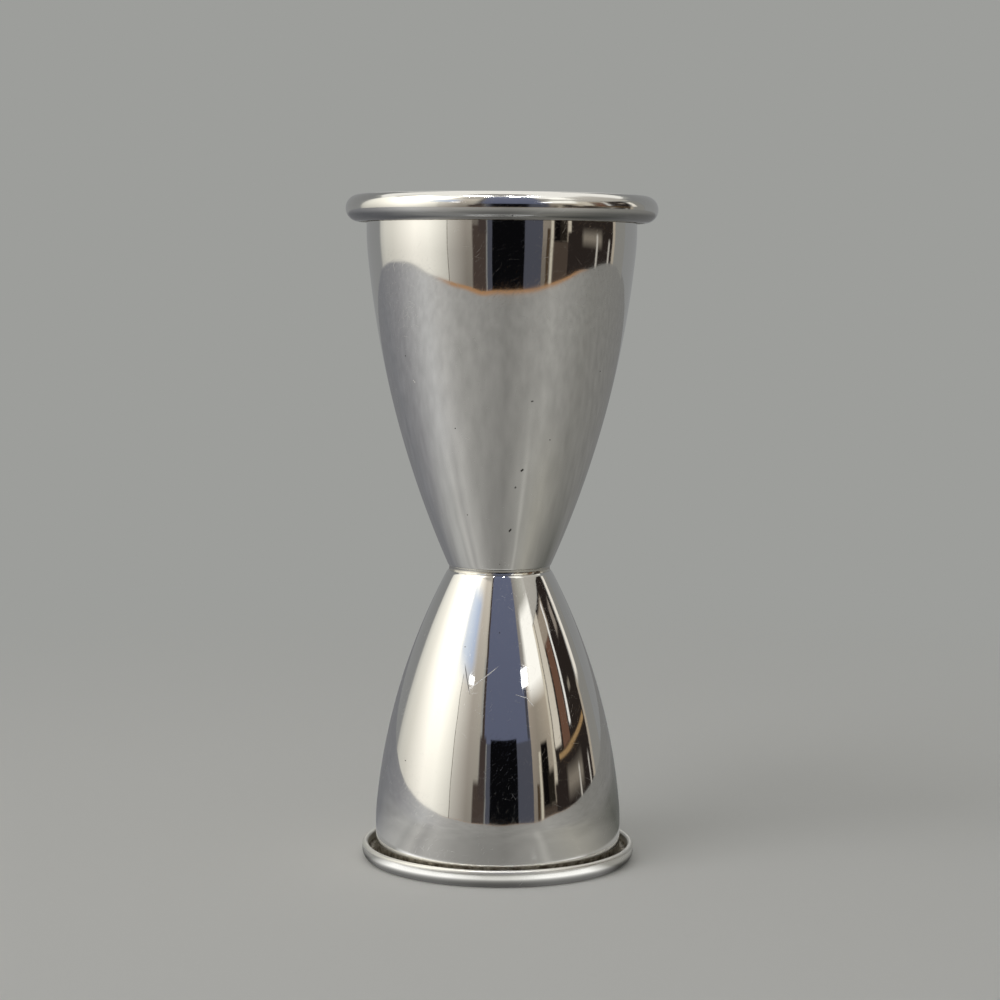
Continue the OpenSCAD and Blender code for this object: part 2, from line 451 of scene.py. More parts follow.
# %% The ring of cards
CARD_RADIUS, CARD_GAP = 1.0, 0.004
CARDS = [
    # name, left, right, bottom, top, colour, strength at the foot and at the head, softness of the edges
    ("back_wall", 122, 238, -16, 36, "949595", 1.0, 0.85, 0),
    ("back_strip", 173, 187, 15, 60, "fffdf8", 1.0, 1.1, 0),
    ("white_wall", -112, -46, 30, 62, "fffaf0", 1.9, 2.5, 0),
    ("white_end", -124, -112, 10, 62, "d4d0c8", 0.9, 1.2, 0),
    ("grey_wall_light", -46, -36, 30, 68, "d2cdc3", 1.0, 1.4, 0),
    ("grey_wall", -36, -17, 30, 74, "bdb7ad", 0.9, 1.1, 0),
    ("left_wall", -126, -17, -20, 47, LEFT_TONES, 0.75, 3.1, 3.5),
    ("corner_gap", -46.6, -45.8, -16, 24, "6e675d", 1.0, 1.0, 0.2),
    ("blue_panel", -60, -30, 22, 43, BLUE_TONES, 1.15, 1.3, 7),
    ("middle_flag", -17, 34, 12, 71, "6e748c", 0.8, 1.2, 0),
    ("flag_edge_left", -17.6, -14.6, 12, 62, "453b36", 1.0, 1.0, 0.5),
    ("flag_edge_right", 31, 34, 12, 42, "4a4a52", 1.0, 1.0, 0.5),
    ("middle_low", -12, 34, -16, 12, "555762", 0.8, 0.9, 0),
    ("shade_left", -25, -12, -16, 5, "4a403b", 1.0, 1.0, 1.5),
    ("shade_tall", -20, -12, 0, 14, "453c39", 1.0, 1.0, 1.5),
    ("black_flag", -8, 19, -16, 13, "0b0b0d", 1.0, 1.0, 0),
    ("right_low", 34, 60, -16, 30, RIGHT_TONES, 0.4, 1.3, 0),
    ("right_upper", 30, 62, 27, 52, UPPER_TONES, 1.0, 1.0, 0),
    ("right_wall", 34, 62, 18, 39, "fffdf6", 1.3, 1.3, 5),
    ("dark_strip", 37.5, 40.5, -16, 3, "4a3d30", 1.0, 1.0, 0.5),
    ("cream_strip", 41, 43.5, -16, 9, "c8c1b0", 1.0, 1.1, 0.3),
    ("right_foot", 44, 58, -16, -2, "4c423a", 1.0, 1.0, 0.5),
    ("right_black", 43.5, 52, -3, 11, "0e0c0c", 1.0, 1.0, 1.0),
    ("right_block", 49, 57, -3, 5, "25211c", 1.0, 1.0, 1.2),
    ("side_olive", 106, 128, -16, 30, "8f8e8a", 1.0, 1.0, 2),
    ("side_dark", 57, 108, -16, 32, "2c2623", 1.0, 1.0, 0.5),
    ("right_pale", 56.5, 60.5, 1, 32, "d8cfbd", 0.85, 1.2, 1),
    ("side_grey", 70, 94, -3.5, 3.5, "857d72", 1.0, 1.0, 3),
    ("side_pale", 60.5, 69.5, 7, 32, "ddd5c6", 1.0, 1.0, 0.7),
    ("side_top", 68, 88, 24, 31, "a39788", 1.0, 1.0, 1.5),
    ("side_brown", 71, 81, 6, 25, "6e5142", 1.0, 1.0, 0.5),
    ("side_white", 82, 85.5, 8, 30, "fffdf8", 1.0, 1.0, 0.7),
    ("side_post", 85.5, 88.5, -16, 2, "c9c4bb", 1.0, 1.0, 1.2),
    ("side_glint", 100.5, 103.5, -16, 1, "c9c4bb", 1.0, 1.0, 1.2),
    ("side_tan", 64, 105, 4.7, 6.1, "a88a62", 1.0, 1.0, 0.4),
    ("side_mark_low", 91, 96, 11.5, 13.5, "8c8376", 1.0, 1.0, 0.6),
    ("side_mark_high", 96, 104, 19, 25, "9a9086", 1.0, 1.0, 1.5),
    ("side_edge", 106, 110.5, -16, 10, "b5ab9c", 1.0, 1.0, 1),
    ("side_cream", 109, 116, 8, 27, "fbf5ea", 1.0, 1.1, 1.5),
    ("right_high", 60, 122, 32, 60, "cbc7bf", 0.8, 1.1, 0),
    ("right_bright", 44, 68, 46, 60, "fffdf6", 1.4, 1.6, 0),
    ("low_lamp_left", -37.5, -31, 22.8, 24.5, "ffffff", 4.0, 4.0, 0),
    ("low_lamp_right", 29, 37, 22.6, 26.2, "ffffff", 4.0, 4.0, 0),
    ("high_lamp_left", -28, -22, 69, 74, "ffffff", 80.0, 80.0, 0),
    ("high_lamp_right", 15, 21, 69, 74, "ffffff", 80.0, 80.0, 0),
    ("far_lamp_left", -49, -43, 69, 74, "ffffff", 80.0, 80.0, 0),
    ("far_lamp_right", 41, 48, 69, 74, "ffffff", 80.0, 80.0, 0),
]
for number, row in enumerate(CARDS):
    card(*row, distance=CARD_RADIUS - CARD_GAP * number)
print(len(CARDS), "cards stand round the measure")

# %% [markdown]
# The rims are round, so they mirror what is overhead too. A wide pale panel stands for a ceiling, and a
# smaller grey one hangs below it, a little to the front, so the upper rim isn't one even white.

# %% Panels overhead
OVERHEAD = [
    # name, centre towards the back, radius, height, colour and strength
    ("ceiling_panel", 0, 5.3, 4.2, "fffdf8", 1.1),
    ("grey_overhead", -0.35, 0.95, 4.0, "96938f", 1.0),
]
for name, centre, radius, height, colour, strength in OVERHEAD:
    glow, tree, out = empty_material(name)
    light = add_node(tree, "ShaderNodeEmission", {"Color": linear(colour), "Strength": strength})
    tree.links.new(light.outputs["Emission"], out.inputs["Surface"])
    metal_only(stage_disc(name, centre, radius, height, glow))
print(len(OVERHEAD), "panels overhead")

# %% [markdown]
# ## The outline of a drawn cup
# Each cup is turned about one axis, so it needs only its outline, as radius and height. The outline is
# the one that the CAD model is built on: a flat base, a tight bend, a long flank arc, a gentle shoulder,
# an upright lip and the curl. Every arc is tangent to the next, because drawing leaves no kink in sheet
# metal. Repeating the arcs, in place of showing the CAD mesh, gives even rings of quads, and a mirror
# needs those: on uneven triangles its reflections would shimmer.

# %% Arcs and lines in the outline


def arc(centre, radius, start, end, steps):
    """Points on an arc, with angles in degrees from the outward radius towards the mouth."""
    angles = [math.radians(start + (end - start) * i / steps) for i in range(steps + 1)]
    return [(centre[0] + radius * math.cos(a), centre[1] + radius * math.sin(a)) for a in angles]


def line(start, end, steps):
    """Points on a straight stretch."""
    return [(start[0] + (end[0] - start[0]) * i / steps, start[1] + (end[1] - start[1]) * i / steps)
            for i in range(steps + 1)]


print("a quarter turn in 3 steps has", len(arc((0, 0), 1, 0, 90, 3)), "points")

# %% [markdown]
# The sizes below are the CAD model's own, in millimetres. From them come the centres of the arcs: the
# curl hangs from the rim's height, the shoulder from the curl, and the flank is the one arc that leaves
# the shoulder smoothly and reaches the foot.

# %% Sizes of the cups and centres of their arcs
# Thickness of the sheet, outside radius of the bend, width of the land, and film between the bases
SHEET, BEND_OUT, LAND, FILM = 0.9, 1.2, 0.6, 0.1
LARGE = dict(mouth=39.7, height=57.3, foot=15.5, shoulder_r=40, shoulder_turn=5.5, lip=3, curl_r=1.15)
SMALL = dict(mouth=36.4, height=45.5, foot=15.8, shoulder_r=32, shoulder_turn=5.5, lip=4.3, curl_r=0.6)


def cup_arcs(mouth, height, foot, shoulder_r, shoulder_turn, lip, curl_r):
    """Centres and radii of the arcs of one cup's outside face, in mm from the middle of its base."""
    curl_out = curl_r + SHEET
    curl = Vector((mouth / 2 + curl_out, height - math.sqrt(curl_out ** 2 - (LAND / 2) ** 2)))
    turn = math.radians(shoulder_turn)
    square_to = Vector((math.cos(turn), -math.sin(turn)))
    shoulder = Vector((mouth / 2 + SHEET - shoulder_r, curl.y - lip))
    shoulder_end = shoulder + shoulder_r * square_to
    chord = shoulder_end - Vector((foot / 2, 0))
    flank_r = chord.length_squared / (2 * chord.dot(square_to))
    flank = shoulder_end - flank_r * square_to
    across = math.sqrt((flank_r - BEND_OUT) ** 2 - (BEND_OUT - flank.y) ** 2)
    bend = Vector((flank.x + across, BEND_OUT))
    lean = math.degrees(math.atan2(flank.y - bend.y, bend.x - flank.x))
    return dict(curl=curl, curl_out=curl_out, shoulder=shoulder, flank=flank, flank_r=flank_r,
                bend=bend, lean=lean)


for name, cup in (("large", LARGE), ("small", SMALL)):
    arcs = cup_arcs(**cup)
    print(name, "cup: flank radius", round(arcs["flank_r"], 1), "mm, lean", round(arcs["lean"], 1))

# %% [markdown]
# The two long faces of a cup run along the same arcs, one sheet apart. The outside face stops at the
# gutter, where the curl begins to hide the wall.

# %% Outside and inside face
GUTTER_DEPTH = 2.1
BASE_STEPS, BEND_STEPS, FLANK_STEPS, SHOULDER_STEPS = 12, 14, 64, 10
WALL_STEPS, LIP_STEPS = 4, 5


def outside_face(cup, arcs):
    """Points from the middle of the base, out and up to where the gutter starts."""
    low, high = -arcs["lean"], -cup["shoulder_turn"]
    wall_r, gutter = cup["mouth"] / 2 + SHEET, arcs["curl"].y - GUTTER_DEPTH
    return (line((0, 0), (arcs["bend"].x, 0), BASE_STEPS)
            + arc(arcs["bend"], BEND_OUT, -90, low, BEND_STEPS)[1:]
            + arc(arcs["flank"], arcs["flank_r"], low, high, FLANK_STEPS)[1:]
            + arc(arcs["shoulder"], cup["shoulder_r"], high, 0, SHOULDER_STEPS)[1:]
            + line((wall_r, arcs["shoulder"].y), (wall_r, gutter), WALL_STEPS)[1:])


def inside_face(cup, arcs):
    """Points from the height of the curl's middle, down the inside to the middle of the base."""
    low, high = -arcs["lean"], -cup["shoulder_turn"]
    inside_r = cup["mouth"] / 2
    return (line((inside_r, arcs["curl"].y), (inside_r, arcs["shoulder"].y), LIP_STEPS)[1:]
            + arc(arcs["shoulder"], cup["shoulder_r"] - SHEET, 0, high, SHOULDER_STEPS)[1:]
            + arc(arcs["flank"], arcs["flank_r"] - SHEET, high, low, FLANK_STEPS)[1:]
            + arc(arcs["bend"], BEND_OUT - SHEET, low, -90, BEND_STEPS)[1:]
            + line((arcs["bend"].x, SHEET), (0, SHEET), BASE_STEPS)[1:])


print("the outside face has", len(outside_face(LARGE, cup_arcs(**LARGE))), "points")

# %% [markdown]
# The rolled rim comes between them: the gutter and the inside of the curl, the free edge of the sheet,
# worn round, then back over the outside of the curl, with the land ground flat on its crest. Each stretch
# carries the name of its finish, so that polished, worn and dull steel can differ.

# %% Outline of one cup
LARGE_ROLL = dict(turn=270, straight=0)
SMALL_ROLL = dict(turn=180, straight=0.75)
CURL_STEPS, EDGE_STEPS, ROLL_STEPS, LAND_STEPS, MOUTH_STEPS = 40, 16, 48, 4, 24


def free_edge(curl, inner, angle, straight):
    """The round free edge of the sheet, where a roll ends or after the straight stretch that follows it."""
    at = math.radians(angle)
    along = Vector((math.sin(at), -math.cos(at)))
    radial = Vector((math.cos(at), math.sin(at)))
    middle = curl + (inner + SHEET / 2) * radial + straight * along
    bow = [math.pi * i / EDGE_STEPS for i in range(EDGE_STEPS + 1)]
    edge = [middle + SHEET / 2 * (math.sin(b) * along - math.cos(b) * radial) for b in bow]
    return [tuple(p) for p in (edge if straight else edge[1:])]


def cup_outline(cup, roll):
    """Stretches of (finish, points) round the sheet of one cup, in mm, base down."""
    arcs = cup_arcs(**cup)
    curl, out, inner = arcs["curl"], arcs["curl_out"], cup["curl_r"]
    end = 180 - roll["turn"]
    land = math.degrees(math.acos(LAND / 2 / out))
    wall_r, gutter = cup["mouth"] / 2 + SHEET, curl.y - GUTTER_DEPTH
    land_out, land_in = (curl.x + LAND / 2, cup["height"]), (curl.x - LAND / 2, cup["height"])
    after_edge = 0 if roll["straight"] else 1
    return [
        ("mirror", outside_face(cup, arcs)),
        ("gutter", line((wall_r, gutter), (wall_r, curl.y), WALL_STEPS)[1:]
         + arc(curl, inner, 180, end, CURL_STEPS)[1:]),
        ("edge", free_edge(curl, inner, end, roll["straight"])),
        ("rim", arc(curl, out, end, land, ROLL_STEPS)[after_edge:]),
        ("land", line(land_out, land_in, LAND_STEPS)[1:]),
        ("rim", arc(curl, out, 180 - land, 180, MOUTH_STEPS)[1:]),
        ("satin", inside_face(cup, arcs)),
    ]


large_outline = cup_outline(LARGE, LARGE_ROLL)
small_outline = cup_outline(SMALL, SMALL_ROLL)
for name, outline in (("large", large_outline), ("small", small_outline)):
    print(name, "outline:", [(finish, len(points)) for finish, points in outline])

# %% [markdown]
# ## Spinning an outline
# Blender's Screw modifier can spin an outline, but a few lines of mesh code do the same and let each ring
# keep the finish of its stretch. The first and last point lie on the axis, so they close with a fan of
# triangles.

# %% Points and faces of a lathe
SPIN_STEPS = 288
ON_AXIS = 1e-6


def spun_points(rings, base, up):
    """Points of all rings, and the number of each ring's first point."""
    turn = [math.tau * i / SPIN_STEPS for i in range(SPIN_STEPS)]
    points, first = [], []
    for r, z, _ in rings:
        first.append(len(points))
        height = (base + up * z) * MM
        spun = [(r * MM * math.sin(a), r * MM * math.cos(a), height) for a in turn]
        points += spun if r > ON_AXIS else [(0, 0, height)]
    return points, first


def spun_faces(rings, first, up):
    """Faces between the rings, and the finish of each face."""
    faces, finish_of = [], []
    for k in range(len(rings) - 1):
        a, b = first[k], first[k + 1]
        for i in range(SPIN_STEPS):
            j = (i + 1) % SPIN_STEPS
            if rings[k][0] <= ON_AXIS:
                face = (a, b + i, b + j)
            elif rings[k + 1][0] <= ON_AXIS:
                face = (a + i, b, a + j)
            else:
                face = (a + i, b + i, b + j, a + j)
            faces.append(face if up > 0 else face[::-1])
            finish_of.append(rings[k + 1][2])
    return faces, finish_of


print("one turn has", SPIN_STEPS, "steps")

# %% Lathe
FINISHES = ["mirror", "gutter", "edge", "rim", "land", "satin"]


def lathe(name, stretches, finishes, base, up):
    """Spins an outline given in mm. Base is the height of its zero, and up is 1 for mouth up, -1 for down."""
    rings = [(r, z, finishes.index(finish)) for finish, points in stretches for r, z in points]
    points, first = spun_points(rings, base, up)
    faces, finish_of = spun_faces(rings, first, up)
    mesh = bpy.data.meshes.new(name)
    mesh.from_pydata(points, [], faces)
    mesh.polygons.foreach_set("material_index", finish_of)
    mesh.polygons.foreach_set("use_smooth", [True] * len(faces))
    mesh.update()
    piece = bpy.data.objects.new(name, mesh)
    bpy.context.scene.collection.objects.link(piece)
    return piece


large_base = SMALL["height"] + FILM
large_piece = lathe("large_cup_polished", large_outline, FINISHES, large_base, 1)
small_piece = lathe("small_cup_polished", small_outline, FINISHES, SMALL["height"], -1)
for piece in (large_piece, small_piece):
    print(piece.name, len(piece.data.polygons), "faces")

# %% [markdown]
# ## The braze at the waist
# Silver filler ran into the groove between the two rounded base edges, and surface tension drew its face
# hollow. A torus pressed into the waist would come close, but the arc that the CAD model cuts gives the
# exact face. The rest of the filler hides between the bases.

# %% Braze ring
FILLET = 1.0
WET_ANGLE = math.radians(25)
WET_STEPS, HOLLOW_STEPS = 10, 16


def braze_outline():
    """The filler's hollow face and the two bend arcs that it wets, in mm from the middle of the film."""
    upper = cup_arcs(**LARGE)["bend"] + Vector((0, FILM / 2))
    lower = cup_arcs(**SMALL)["bend"]
    lower = Vector((lower.x, -lower.y - FILM / 2))
    half = (upper - lower).length / 2
    along = (upper - lower).normalized()
    outwards = Vector((along.y, -along.x))
    to_face = math.sqrt(BEND_OUT ** 2 + FILLET ** 2 + 2 * BEND_OUT * FILLET * math.cos(WET_ANGLE))
    face = (upper + lower) / 2 + outwards * math.sqrt(to_face ** 2 - half ** 2)
    cos_swing = (to_face ** 2 + BEND_OUT ** 2 - FILLET ** 2) / (2 * to_face * BEND_OUT)
    swing = math.degrees(math.acos(min(1, cos_swing)))
    ways = [face - bend for bend in (lower, upper)]
    to_low, to_high = [math.degrees(math.atan2(way.y, way.x)) for way in ways]
    low = arc(lower, BEND_OUT, 90, to_low + swing, WET_STEPS)
    high = arc(upper, BEND_OUT, to_high - swing, -90, WET_STEPS)
    start, end = [math.degrees(math.atan2(z - face.y, r - face.x)) for r, z in (low[-1], high[0])]
    hollow = arc(face, FILLET, start % 360, end % 360, HOLLOW_STEPS)
    return [("braze", [(0, -FILM / 2)] + low + hollow[1:] + high[1:] + [(0, FILM / 2)])]


braze_piece = lathe("waist_braze_ring", braze_outline(), ["braze"], large_base - FILM / 2, 1)
print(braze_piece.name, "is", [round(c / MM, 2) for c in braze_piece.dimensions], "mm")

# %% [markdown]
# ## Coordinates on the metal
# Marks on turned metal run round it or along it, so the patterns need coordinates that do the same. Two
# sets are made from the object's own place, which needs no UV map: plain millimetres in space, and the
# skin, which is the way round the axis in millimetres and the height. The skin has one seam, and it is at
# the back.

# %% Space and skin
SKIN_RADIUS = 15.0


def space_on(tree):
    """The place of a point of the metal, in mm."""
    place = add_node(tree, "ShaderNodeTexCoord").outputs["Object"]
    return add_node(tree, "ShaderNodeVectorMath", {0: place, "Scale": 1 / MM},
                    operation="SCALE").outputs["Vector"]


def skin_on(tree, space):
    """The skin coordinates of that place, in mm."""
    round_it = maths(tree, "MULTIPLY", compass_of(tree, space), SKIN_RADIUS)
    skin = {"X": round_it, "Y": height_of(tree, space)}
    return add_node(tree, "ShaderNodeCombineXYZ", skin).outputs["Vector"]


print("one turn of the skin is", round(math.tau * SKIN_RADIUS), "mm")

# %% [markdown]
# ## Buffed stainless steel
# All faces of the cups are one drawn stainless steel, and differ only in how far they were buffed and how
# they wore. Even a mirror face shows how it was made: a slow waviness left by drawing, which bends
# reflections, cloudy patches from handling, and fine lines round the axis from the mop. Clouds and lines
# go into the roughness, because such a mark is a place that scatters light. The waves go into the bump,
# because they bend it.

# %% Waves, clouds and mop lines
WAVE_MM = 15.0
CLOUD_MM, CLOUD_LEVELS = 9.0, (0.42, 0.72)
# Length and spacing. Real mop lines are a few hundredths of a millimetre apart and would not show, so
# these are drawn coarser
MOP_LINE_MM = (14.0, 0.22)


def buffing_marks(tree, space, skin, cloud, mop):
    """The roughness that clouds and mop lines add, with the most that each may add."""
    clouds = noise(tree, space, CLOUD_MM, detail=4.0, rough=0.6)
    clouds = mapped(tree, clouds, *CLOUD_LEVELS, 0, cloud)
    along, across = MOP_LINE_MM
    mopped = add_node(tree, "ShaderNodeMapping",
                      {"Vector": skin, "Scale": (1 / along, 1 / across, 1)}).outputs["Vector"]
    return maths(tree, "MULTIPLY_ADD", noise(tree, mopped, 1, dimensions="2D"), mop, clouds)


print("waves of", WAVE_MM, "mm, clouds of", CLOUD_MM, "mm")

# %% [markdown]
# Wiping with a dry cloth leaves long hairlines, in patches. A noise that is stretched a lot and cut at one
# level gives such lines without a single one having to be drawn.

# %% Wiping hairlines
# Tilt in degrees, then length and spacing in mm
HAIRLINES = [(24, 22.0, 1.1), (-38, 16.0, 0.9)]
# Level of the noise that makes a line, and how far from it the line ends
HAIR_LEVEL, HAIR_SHARE = 0.56, 0.006
HAIR_PATCH_MM, HAIR_PATCH_LEVELS = 11.0, (0.52, 0.68)
SEED_STEP = 5.0


def worn_patches(tree, space, seed, size, levels, most):
    """From 0 to most in soft patches of a size in mm, with other patches for each seed."""
    return mapped(tree, noise(tree, space, size, dimensions="4D", seed=seed), *levels, 0, most)


def add_hairlines(tree, space, skin, marks, hair):
    """The marks with hairlines added, which are rougher by hair at most."""
    for number, (tilt, length, spacing) in enumerate(HAIRLINES):
        turned = add_node(tree, "ShaderNodeMapping",
                          {"Vector": skin, "Rotation": (0, 0, math.radians(tilt)),
                           "Scale": (length, spacing, 1)}, vector_type="TEXTURE").outputs["Vector"]
        fibres = noise(tree, turned, 1, detail=1.0, dimensions="2D")
        off = maths(tree, "ABSOLUTE", maths(tree, "SUBTRACT", fibres, HAIR_LEVEL))
        hairs = mapped(tree, off, HAIR_SHARE, 0, 0, hair)
        shown = worn_patches(tree, space, number * SEED_STEP, HAIR_PATCH_MM, HAIR_PATCH_LEVELS, 1.0)
        marks = maths(tree, "MULTIPLY_ADD", hairs, shown, marks)
    return marks


print(len(HAIRLINES), "sets of hairlines")

# %% [markdown]
# Use leaves short straight scratches, which glint where the mirror is dark. Each cell of a mosaic holds
# one, turned its own way and of its own depth, so no two look alike, and no list of them is needed.

# %% Short scratches
# Tilt and spread in degrees, then spacing, length and width in mm. Real ones are a hundredth of a
# millimetre wide and would not show, so these are drawn wider
SCRATCHES = [(55, 25, 0.7, 0.9, 0.05), (-25, 50, 1.7, 1.5, 0.05)]
SCRATCH_PATCH_MM, SCRATCH_PATCH_LEVELS = 8.0, (0.34, 0.60)
SCRATCH_SEED = 52
# Shares of a stroke's length and width, from its middle, inside which it is at full strength
FULL_LENGTH, FULL_WIDTH = 0.3, 1 / 6


def stroke(tree, local, length, width):
    """1 on a straight mark of this length and width about the middle of local, fading to 0 at its edge."""
    off = add_node(tree, "ShaderNodeVectorMath", {0: local}, operation="ABSOLUTE").outputs["Vector"]
    off = add_node(tree, "ShaderNodeSeparateXYZ", {0: off}).outputs
    ends = mapped(tree, off["X"], length / 2, length * FULL_LENGTH)
    sides = mapped(tree, off["Y"], width / 2, width * FULL_WIDTH)
    return maths(tree, "MULTIPLY", ends, sides)


def add_scratches(tree, space, skin, marks, scratch):
    """The marks with short scratches added, which are rougher by scratch at most."""
    for number, (tilt, spread, spacing, length, width) in enumerate(SCRATCHES):
        mosaic = add_node(tree, "ShaderNodeTexVoronoi", {"Vector": skin, "Scale": 1 / spacing},
                          voronoi_dimensions="2D").outputs
        from_middle = add_node(tree, "ShaderNodeVectorMath", {0: skin, 1: mosaic["Position"]},
                               operation="SUBTRACT").outputs["Vector"]
        luck = add_node(tree, "ShaderNodeSeparateColor", {"Color": mosaic["Color"]}).outputs
        least, most = math.radians(tilt - spread), math.radians(tilt + spread)
        turn = mapped(tree, luck["Red"], 0, 1, -least, -most)
        local = add_node(tree, "ShaderNodeVectorRotate", {"Vector": from_middle, "Angle": turn},
                         rotation_type="Z_AXIS").outputs["Vector"]
        shown = worn_patches(tree, space, SCRATCH_SEED + number * SEED_STEP, SCRATCH_PATCH_MM,
                             SCRATCH_PATCH_LEVELS, scratch)
        depth = maths(tree, "MULTIPLY", shown, luck["Green"])
        marks = maths(tree, "MULTIPLY_ADD", stroke(tree, local, length, width), depth, marks)
    return marks


print(len(SCRATCHES), "sets of short scratches")

# %% [markdown]
# Some marks are larger and stand alone: one long scratch across the small cup, a few dark specks on the
# large one, a wiped smear above the foot. Each of these is a stroke from a start to an end on the skin,
# and a dark one also takes colour from the steel.

# %% Single scars
SCARS = [
    # start and end on the skin in mm, width, added roughness and darkness
    ((-4.6, 28.8), (0.3, 32.5), 0.19, 0.5, 0),
    ((2.3, 28.2), (4.2, 27.6), 0.14, 0.4, 0),
    ((4.2, 27.6), (5.2, 26.3), 0.14, 0.4, 0),
    ((-5.8, 32.6), (-4.3, 27.9), 0.2, 0.2, 0.85),
    ((-12.5, 44.2), (-11.8, 43.6), 0.2, 0.4, 0),
    ((3.3, 61.6), (3.8, 62.0), 0.42, 0.2, 1),
    ((2.5, 59.0), (2.8, 59.3), 0.36, 0.2, 0.8),
    ((1.9, 52.2), (2.5, 52.7), 0.44, 0.2, 1),
    ((4.0, 72.2), (4.4, 72.3), 0.3, 0.2, 0.8),
    ((-5.2, 66.6), (-4.4, 66.5), 0.28, 0.5, 0),
    ((-12.7, 75.2), (-12.3, 74.6), 0.3, 0.5, 0),
    ((3.9, 6.6), (4.5, 3.4), 1.3, 0.12, 0),
]


def add_scars(tree, skin, marks, scars):
    """The marks with single scars added, and the darkness of the scars."""
    dark = 0.0
    for start, end, width, scar_rough, scar_dark in scars:
        centre = ((start[0] + end[0]) / 2, (start[1] + end[1]) / 2, 0)
        tilt = math.atan2(end[1] - start[1], end[0] - start[0])
        local = add_node(tree, "ShaderNodeMapping",
                         {"Vector": skin, "Location": centre, "Rotation": (0, 0, tilt)},
                         vector_type="TEXTURE").outputs["Vector"]
        scar = stroke(tree, local, math.dist(start, end), width)
        marks = maths(tree, "MULTIPLY_ADD", scar, scar_rough, marks)
        if scar_dark:
            dark = maths(tree, "MULTIPLY_ADD", scar, scar_dark, dark)
    return marks, dark


print(len(SCARS), "scars")

# %% [markdown]
# Tiny pits come from hard grains in the steel and from salt. A second, wider mosaic puts a dot in the
# middle of some of its cells.

# %% Pits
PIT_SPACING_MM, PIT_MM = 7.0, 0.12
PIT_ROUGH, PIT_TINT = 0.4, "2a2724"


def pit_dots(tree, skin, pits):
    """1 on a pit, with pits in that share of the cells of a mosaic."""
    cells = add_node(tree, "ShaderNodeTexVoronoi", {"Vector": skin, "Scale": 1 / PIT_SPACING_MM},
                     voronoi_dimensions="2D").outputs
    size = PIT_MM / PIT_SPACING_MM
    dots = mapped(tree, cells["Distance"], size, size / 2)
    luck = add_node(tree, "ShaderNodeSeparateColor", {"Color": cells["Color"]}).outputs["Red"]
    return maths(tree, "MULTIPLY", dots, maths(tree, "LESS_THAN", luck, pits))


print("pits of", PIT_MM, "mm")

# %% [markdown]
# One function now puts the marks together on a metal shader, and each face says how much of each mark it
# has. A metal is its colour and its roughness, so the IOR stays at its default. A face that was turned and
# not buffed also stretches its highlights across the turning lines, which is what anisotropy is for.

# %% The steel
GRAIN_TURN = 0.25


def paint_shade_below(tree, space, colour, shade_under):
    """Colour that darkens lower down into a painted shade tint, with the heights and the tint given as (from,
    to, tint) in mm.
    """
    start, end, tint = shade_under
    below = mapped(tree, height_of(tree, space), start, end, ease="SMOOTHSTEP")
    return blend(tree, below, colour, linear(tint))


def buffed_steel(name, tint, rough, cloud, mop, wave_height, hair, scratch, pits,
                 stretch=0.0, scars=(), shade_under=None):
    """Stainless steel of roughness rough, plus what its marks add. Wave_height is in mm, and stretch is
    its anisotropy."""
    steel, tree, out = empty_material(name)
    space = space_on(tree)
    skin = skin_on(tree, space)
    marks = buffing_marks(tree, space, skin, cloud, mop)
    marks = add_hairlines(tree, space, skin, marks, hair)
    marks = add_scratches(tree, space, skin, marks, scratch)
    marks, dark = add_scars(tree, skin, marks, scars)
    dots = pit_dots(tree, skin, pits)
    dull = maths(tree, "ADD", marks, rough)
    dull = maths(tree, "MULTIPLY_ADD", dots, PIT_ROUGH, dull, use_clamp=True)
    specks = maths(tree, "ADD", dots, dark, use_clamp=True)
    # Where a face asks for it, painted shade darkens the colour lower down
    colour = paint_shade_below(tree, space, linear(tint), shade_under) if shade_under else linear(tint)
    colour = blend(tree, specks, colour, linear(PIT_TINT))
    waves = noise(tree, space, WAVE_MM)
    bent = add_node(tree, "ShaderNodeBump", {"Height": waves, "Strength": 1.0,
                                             "Distance": wave_height * MM}).outputs["Normal"]
    face = add_node(tree, "ShaderNodeBsdfPrincipled",
                    {"Base Color": colour, "Metallic": 1.0, "Roughness": dull, "Normal": bent})
    if stretch:
        face.inputs["Anisotropic"].default_value = stretch
        face.inputs["Anisotropic Rotation"].default_value = GRAIN_TURN
        grain = add_node(tree, "ShaderNodeTangent", direction_type="RADIAL", axis="Z")
        tree.links.new(grain.outputs["Tangent"], face.inputs["Tangent"])
    tree.links.new(face.outputs["BSDF"], out.inputs["Surface"])
    return steel


# Flank and base, buffed to a mirror: it shows the room sharply, and marks glint where the room is dark
mirror_steel = buffed_steel("mirror_buffed_stainless", "e0dfdc", rough=0.025, cloud=0.03, mop=0.015,
                            wave_height=0.07, hair=0.12, scratch=0.33, pits=0.12, scars=SCARS)
print(mirror_steel.name, "has", len(mirror_steel.node_tree.nodes), "nodes")

# %% [markdown]
# The rims, the free edges, the lands and the insides are the same steel, finished less far. A rolled rim
# can't be held against the mop as evenly as a flank, an edge keeps the softness of tumbling, a land is
# left as ground, and the inside of a cup is turned to a satin, because no mop fits in.

# %% Finishes of the rims and the insides
# Heights in mm between which the upper rim turns to its underside, and the tint there: a painted shade that
# darkens the underside
UNDERSIDE_SHADE = (100.4, 99.7, "a0a09f")
# Upper rim, rolled and buffed from above: bright on top, and greyer underneath, where shade is painted into
# its colour
bright_rim = buffed_steel("rolled_bright_stainless", "dddcd8", rough=0.06, cloud=0.08, mop=0.05,
                          wave_height=0.05, hair=0.12, scratch=0.15, pits=0.2, shade_under=UNDERSIDE_SHADE)
# Lower rim, rolled and then worn by standing and sliding: softer highlights, more scratches
worn_rim = buffed_steel("rolled_worn_stainless", "d9d8d3", rough=0.08, cloud=0.10, mop=0.06,
                        wave_height=0.04, hair=0.15, scratch=0.25, pits=0.3)
